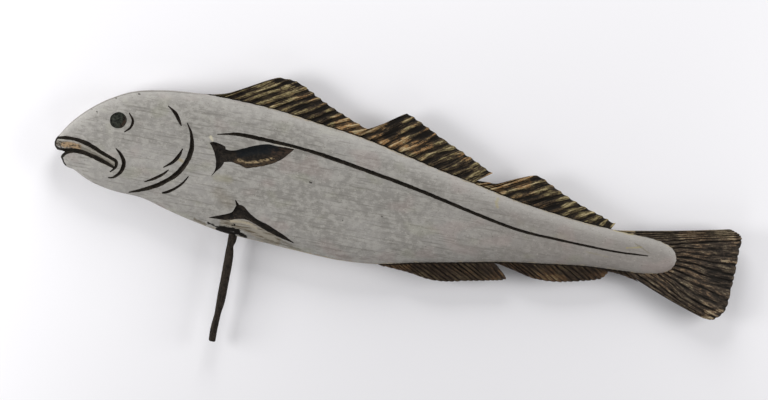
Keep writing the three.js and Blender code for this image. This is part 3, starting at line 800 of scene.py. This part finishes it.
def fin_stain(name, ray_width, stains, levels, darkening, patch_size, spots):
    """Stain left black in the grooves of the rays and rubbed through, in broken streaks along each
    ray, to brown, then to `stains`' olive or orange gold size, then to cream wood. `levels` are where
    brown, gold and cream begin; `spots` are places with more or less rubbing, and how orange."""
    material, tree, shader, at = start_material(name, 0.64, 0.12)
    kept = attribute(tree, "place")
    ray, along, cut = kept["X"], kept["Y"], kept["Z"]
    flat = flattened(tree, at, 9.0)[1]
    across = add(tree, "ShaderNodeMath", {0: ray, 1: ray_width}, operation="MULTIPLY")
    laid = add(tree, "ShaderNodeCombineXYZ", {"X": across, "Y": along, "Z": 0.0})
    streak = pattern(tree, laid, (1.6, 15, 1), detail=4, roughness=0.66)
    broad = pattern(tree, laid, (5, 26, 1), detail=3, offset=8.8)
    chip = pattern(tree, at, (3.0, 2.2, 2.2), detail=4, roughness=0.72, offset=4.4)
    patch = pattern(tree, at, patch_size, detail=3, roughness=0.6, offset=40.2)

    rubbed = add(tree, "ShaderNodeMath", {0: cut, 1: -darkening}, operation="MULTIPLY")
    for noise, share in ((streak, 1.3), (broad, 0.4), (patch, 0.5), (chip, 0.6)):
        rubbed = add(tree, "ShaderNodeMath", {0: noise, 1: share, 2: rubbed}, operation="MULTIPLY_ADD")
    orange = pattern(tree, at, (40, 26, 26), detail=2, offset=61.5)
    for path, half_width, soft, more, warmer in spots:
        near = add(tree, "ShaderNodeMapRange", {
            "Value": from_path(tree, flat, path), "From Min": half_width + soft, "From Max": half_width},
            interpolation_type="SMOOTHSTEP")
        rubbed = add(tree, "ShaderNodeMath", {0: near, 1: more, 2: rubbed}, operation="MULTIPLY_ADD")
        orange = add(tree, "ShaderNodeMath", {0: near, 1: warmer, 2: orange}, operation="MULTIPLY_ADD")

    black, brown, olive, amber, cream = (colour(code) for code in stains)
    gold = coat(tree, olive, amber, orange, 0.46, 0.62)
    tone = coat(tree, black, brown, rubbed, levels[0], levels[0] + 0.12)
    tone = coat(tree, tone, gold, rubbed, levels[1], levels[1] + 0.10)
    tone = coat(tree, tone, cream, rubbed, levels[2], levels[2] + 0.14, 0.9)
    # Painted shade, over dark paint, in the corner where the fin meets the body; the deepest grooves darker
    # still
    tone = coat(tree, tone, black, along, 2.8, 1.4, 0.85)
    tone = coat(tree, tone, colour("#0f0c09"), cut, 1.5, 2.6, 0.7)
    finish_with(tree, shader, tone, [(streak, 0.9), (chip, 0.6)])
    return material


# Places on the fins of the left face that are rubbed more or less than the rest: path, half width,
# softness, how much more, and how much more orange
BACK_FIN_SPOTS = [
    ([(396, 113), (432, 105)], 4, 10, 0.16, 0.25), ([(272, 148), (300, 140)], 3, 9, 0.08, -0.15),
    ([(345, 122), (385, 112)], 6, 14, -0.10, -0.1), ([(292, 156), (335, 156)], 1, 5, -0.3, 0.0),
    ([(436, 106), (470, 119)], 4, 8, 0.20, 0.2), ([(482, 112), (488, 132)], 5, 9, -0.34, 0.0),
    ([(470, 98), (540, 100)], 6, 10, 0.10, 0.2), ([(560, 84), (600, 76)], 6, 10, -0.10, -0.1),
    ([(606, 61), (664, 56)], 1.5, 4, 0.24, 0.1), ([(642, 72), (690, 80)], 6, 10, 0.12, 0.25),
    ([(700, 55), (742, 50)], 4, 10, -0.16, 0.1), ([(750, 60), (826, 42)], 5, 8, 0.10, -0.2),
]
BELLY_FIN_SPOTS = [
    ([(505, -84), (545, -80)], 2, 8, 0.10, 0.1), ([(560, -90), (590, -88)], 1.5, 7, 0.12, -0.3),
    ([(738, -57), (775, -54)], 1.5, 6, 0.16, 0.4), ([(820, -38), (834, -36)], 2, 6, 0.12, 0.4),
]
TAIL_SPOTS = [
    ([(935, 42), (985, 54), (1012, 52)], 4, 9, 0.12, 0.1),
    ([(998, 16.5), (1022, 17.5)], 0.5, 1.8, 0.34, 0.2),
    ([(990, -63), (1012, -56)], 0.8, 3.2, 0.26, 0.2),
    ([(986, -71), (1000, -70)], 0.8, 2.4, 0.34, 0.2),
    ([(985, 2), (1010, -16)], 5, 12, -0.12, -0.2), ([(1012, 60), (1021, 40)], 1, 4, -0.1, 0.0),
    ([(838, 36), (861, 35)], 2, 2.5, 0.6, 0.0),
]


def cut_paint(name, tones, flecks):
    """Black paint run into a cut, browner where it is thin, with a few flecks of wood at the rims."""
    material, tree, shader, at = start_material(name, 0.72, 0.08)
    rim = add(tree, "ShaderNodeMath", {0: attribute(tree, "place")["X"]}, operation="ABSOLUTE")
    thin = pattern(tree, at, (7, 5, 5), detail=4, roughness=0.65)
    tone = coat(tree, colour(tones[0]), colour(tones[1]), thin, 0.42, 0.66)
    fleck = pattern(tree, at, (2.4, 1.6, 1.6), detail=3, roughness=0.7, offset=5.2)
    worn = add(tree, "ShaderNodeMath", {0: rim, 1: 0.09, 2: fleck}, operation="MULTIPLY_ADD")
    tone = coat(tree, tone, colour(tones[2]), worn, 0.64, 0.73, flecks)
    finish_with(tree, shader, tone, [(thin, 0.5), (fleck, 0.25)])
    return material, tree, shader, at, tone


def hollow_paint():
    """Black paint in the wide hollows, bluish on the steep wall, rubbed to brown wood on the lower
    slope of the pectoral fin, with a light ridge between two passes of the gouge."""
    material, tree, shader, at, tone = cut_paint(
        "black_paint_in_hollows", ("#1a1816", "#2b2621", "#54463a"), 0.6)
    flat = flattened(tree, at, 6.0)[1]
    streak = pattern(tree, at, (8, 2.2, 2.2), detail=4, roughness=0.7, offset=2.2)
    broken = add(tree, "ShaderNodeMapRange", {
        "Value": streak, "From Min": 0.42, "From Max": 0.56, "To Min": 0.0, "To Max": 0.95})
    blue = from_path(tree, flat, [(272, 42), (300, 52), (318, 56)])
    tone = coat(tree, tone, colour("#151b20"), blue, 11, 5, 0.6)
    slope = from_path(tree, flat, [(270, 26), (288, 25), (306, 31), (322, 40)])
    tone = coat(tree, tone, colour("#43372a"), slope, 8, 3, broken)
    ridge = from_path(tree, flat, [(270, 29), (284, 27.5), (300, 32.5), (320, 41)])
    tone = coat(tree, tone, colour("#9a8768"), ridge, 2.6, 0.6, broken)
    speckled = from_path(tree, flat, [(322, 50), (342, 57)])
    tone = coat(tree, tone, colour("#3d3129"), speckled, 9, 3, broken)
    tree.links.new(tone, shader.inputs["Base Color"])
    return material


def eye_paint():
    """Black enamel, dulled to olive and rubbed brown on the side towards the gill."""
    material, tree, shader, at = start_material("black_enamel_eye", 0.5, 0.15)
    dull = pattern(tree, at, (4, 2.6, 2.6), detail=4, roughness=0.7)
    tone = coat(tree, colour("#131512"), colour("#373a32"), dull, 0.40, 0.62)
    side = from_path(tree, flattened(tree, at, 4.0)[0], [(93.5, 59), (95, 52), (91, 45)])
    rubbed = add(tree, "ShaderNodeMapRange", {"Value": dull, "From Min": 0.42, "From Max": 0.56})
    tone = coat(tree, tone, colour("#3c2f27"), side, 3.4, 1.0, rubbed)
    finish_with(tree, shader, tone, [(dull, 0.5)])
    return material


def bare_wood():
    """Weathered pine end grain and sawn walls, stained grey-brown."""
    material, tree, shader, at = start_material("bare_weathered_pine", 0.8, 0.15)
    grain = pattern(tree, at, (22, 1.4, 1.4), detail=4, roughness=0.6)
    tone = coat(tree, colour("#6f5b3f"), colour("#3b2e1f"), grain, 0.38, 0.64)
    finish_with(tree, shader, tone, [(grain, 0.4)])
    return material


def rust():
    """Wrought iron rusted dark brown all over: scale in flakes of some mm, finer pits, and a few
    lighter brown spots."""
    material, tree, shader, at = start_material("pitted_rusted_iron", 0.82, 0.2)
    flake = pattern(tree, at, (5, 7, 5), detail=5, roughness=0.65)
    pit = pattern(tree, at, (1.5, 1.8, 1.5), detail=3, roughness=0.7, offset=6.6)
    tone = coat(tree, colour("#16120f"), colour("#2f2821"), flake, 0.38, 0.62)
    tone = coat(tree, tone, colour("#4b3d31"), pit, 0.54, 0.68, 0.75)
    tone = coat(tree, tone, colour("#0c0a08"), pit, 0.42, 0.34, 0.8)
    finish_with(tree, shader, tone, [(flake, 1.6), (pit, 0.7)])
    return material


FINISHES = {
    "paint": grey_paint(),
    "gold_stain": fin_stain(
        "gold_rubbed_over_black_stain", 12.0, ("#1b1611", "#45392b", "#7f7350", "#94714a", "#b9a985"),
        (0.98, 1.20, 1.36), 0.13, (26, 14, 14), BACK_FIN_SPOTS),
    "dark_stain": fin_stain(
        "brown_black_stain", 8.0, ("#231d18", "#372c23", "#4f4434", "#5f4934", "#86785a"),
        (1.12, 1.34, 1.54), 0.10, (40, 24, 24), BELLY_FIN_SPOTS),
    "tail_stain": fin_stain(
        "brown_stain_worn_in_streaks", 7.0, ("#221e1a", "#3e352d", "#5f5546", "#6c5946", "#a29277"),
        (1.10, 1.31, 1.46), 0.14, (40, 24, 24), TAIL_SPOTS),
    "gouge": cut_paint("black_paint_in_gouge_cuts", ("#1a1713", "#2d2822", "#665848"), 0.5)[0],
    "hollow": hollow_paint(),
    "eye": eye_paint(),
    "wood": bare_wood(),
    "rust": rust(),
}


# The carved fish

SHARP_EDGE = math.radians(40)


def gathered(pieces):
    """Small pieces joined into one before they meet the body."""
    first, *others = pieces
    for other in others:
        join(first, other, "UNION")
    return first


fish = body(FINISHES["paint"])
fins = [
    fin(f"{edge}_fin_{number}", rooted(keys, edge), rays, steps, ragged, edge == "belly", FIN_ROOT_HALF,
        FIN_TIP_HALF, FIN_EMBED, number, FINISHES["gold_stain" if edge == "back" else "dark_stain"])
    for number, (edge, rays, steps, ragged, keys) in enumerate(FINS, start=1)
]
fins.append(fin("tail_fan", TAIL, TAIL_RAYS, TAIL_STEPS, 0.8, True, TAIL_ROOT_HALF, TAIL_TIP_HALF, 0.0,
                len(FINS) + 1, FINISHES["tail_stain"]))
join(fish, gathered(fins), "UNION")
cuts = [mouth_cut(FINISHES["wood"]), bore_cut(FINISHES["wood"])]
for side in (1, -1):
    cuts += [stroke(name, keys, number, FINISHES["gouge"], side)
             for number, (name, keys) in enumerate(STROKES.items(), start=1)]
    cuts += [recess(name, *cut, number, FINISHES["hollow"], side)
             for number, (name, cut) in enumerate(RECESSES.items(), start=1)]
    cuts.append(eye_cut(FINISHES["eye"], side))
join(fish, gathered(cuts), "DIFFERENCE")
keep_one_shell(fish)
fish.data.set_sharp_from_angle(angle=SHARP_EDGE)
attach(fish, "root")
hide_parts("carved_fish")

# The pivot rod

rod_rows = even_rows(ROD, ROD_STEPS, columns=1)
rings = rod_rings(rod_rows, ROD_SIDES, ROD_PITTING)
rod = closed_mesh("forged_rod", rings, np.zeros_like(rings), FINISHES["rust"], caps="face")
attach(rod, "root")
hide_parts("pivot_rod")

# Floor, light and camera

FLOOR_HALF = 6.0
WINDOW_SIZE = 0.8
WINDOW_HEIGHT = math.radians(26)  # as seen from the fish
WINDOW_DISTANCE = 1.7


def floor():
    """Seamless matt paper, a faintly cool white that gives soft shadows and no shine."""
    mesh = bpy.data.meshes.new("floor")
    corners = [(x * FLOOR_HALF, y * FLOOR_HALF, 0) for x, y in ((-1, -1), (1, -1), (1, 1), (-1, 1))]
    mesh.from_pydata(corners, [], [(0, 1, 2, 3)])
    material = bpy.data.materials.new("matt_white_paper")
    material.use_nodes = True
    shader = material.node_tree.nodes["Principled BSDF"]
    shader.inputs["Base Color"].default_value = colour("#f3f2f5")
    shader.inputs["Roughness"].default_value = 0.95
    shader.inputs["Specular IOR Level"].default_value = 0.1
    mesh.materials.append(material)
    sheet = bpy.data.objects.new("floor", mesh)
    bpy.context.scene.collection.objects.link(sheet)


def window(name, bearing, power):
    """A soft window light low beside the fish, at a bearing seen from above, facing it."""
    light = bpy.data.lights.new(name, "AREA")
    light.shape = "SQUARE"
    light.size = WINDOW_SIZE
    light.energy = power
    lamp = bpy.data.objects.new(name, light)
    level = WINDOW_DISTANCE * math.cos(WINDOW_HEIGHT)
    lamp.location = (
        level * math.cos(bearing), level * math.sin(bearing), WINDOW_DISTANCE * math.sin(WINDOW_HEIGHT))
    lamp.rotation_euler = (-lamp.location).to_track_quat("-Z", "Y").to_euler()
    bpy.context.scene.collection.objects.link(lamp)


# The picture is 1132.8 mm wide at the face, turned by 10.8 degrees, and seen from straight above
PICTURE_TURN = math.radians(10.8)
PICTURE_WIDTH = 1.1328
PICTURE_MIDDLE = settle([[491.9, 11.3, 12.0]])[0]
LENS = 300.0
FILM = 36.0

camera_data = bpy.data.cameras.new("camera")
camera_data.lens = LENS
camera_data.sensor_width = FILM
camera_data.clip_end = 50.0
camera = bpy.data.objects.new("camera", camera_data)
camera.location = Vector(PICTURE_MIDDLE) + Vector((0, 0, PICTURE_WIDTH * LENS / FILM))
camera.rotation_euler = (0, 0, PICTURE_TURN)
bpy.context.scene.collection.objects.link(camera)
bpy.context.scene.camera = camera

# Windows on four sides of the picture: bearing in degrees from its right side, and power in watts
WINDOWS = {
    "back_window": (90, 16.5), "snout_window": (180, 18), "tail_window": (0, 12.5),
    "belly_window": (270, 4),
}

floor()
for name, (bearing, power) in WINDOWS.items():
    window(name, math.radians(bearing) + PICTURE_TURN, power)

world = bpy.data.worlds.new("studio")
world.use_nodes = True
world.node_tree.nodes["Background"].inputs["Color"].default_value = (1, 1, 1, 1)
world.node_tree.nodes["Background"].inputs["Strength"].default_value = 0.2
bpy.context.scene.world = world
bpy.context.scene.view_settings.view_transform = "Standard"
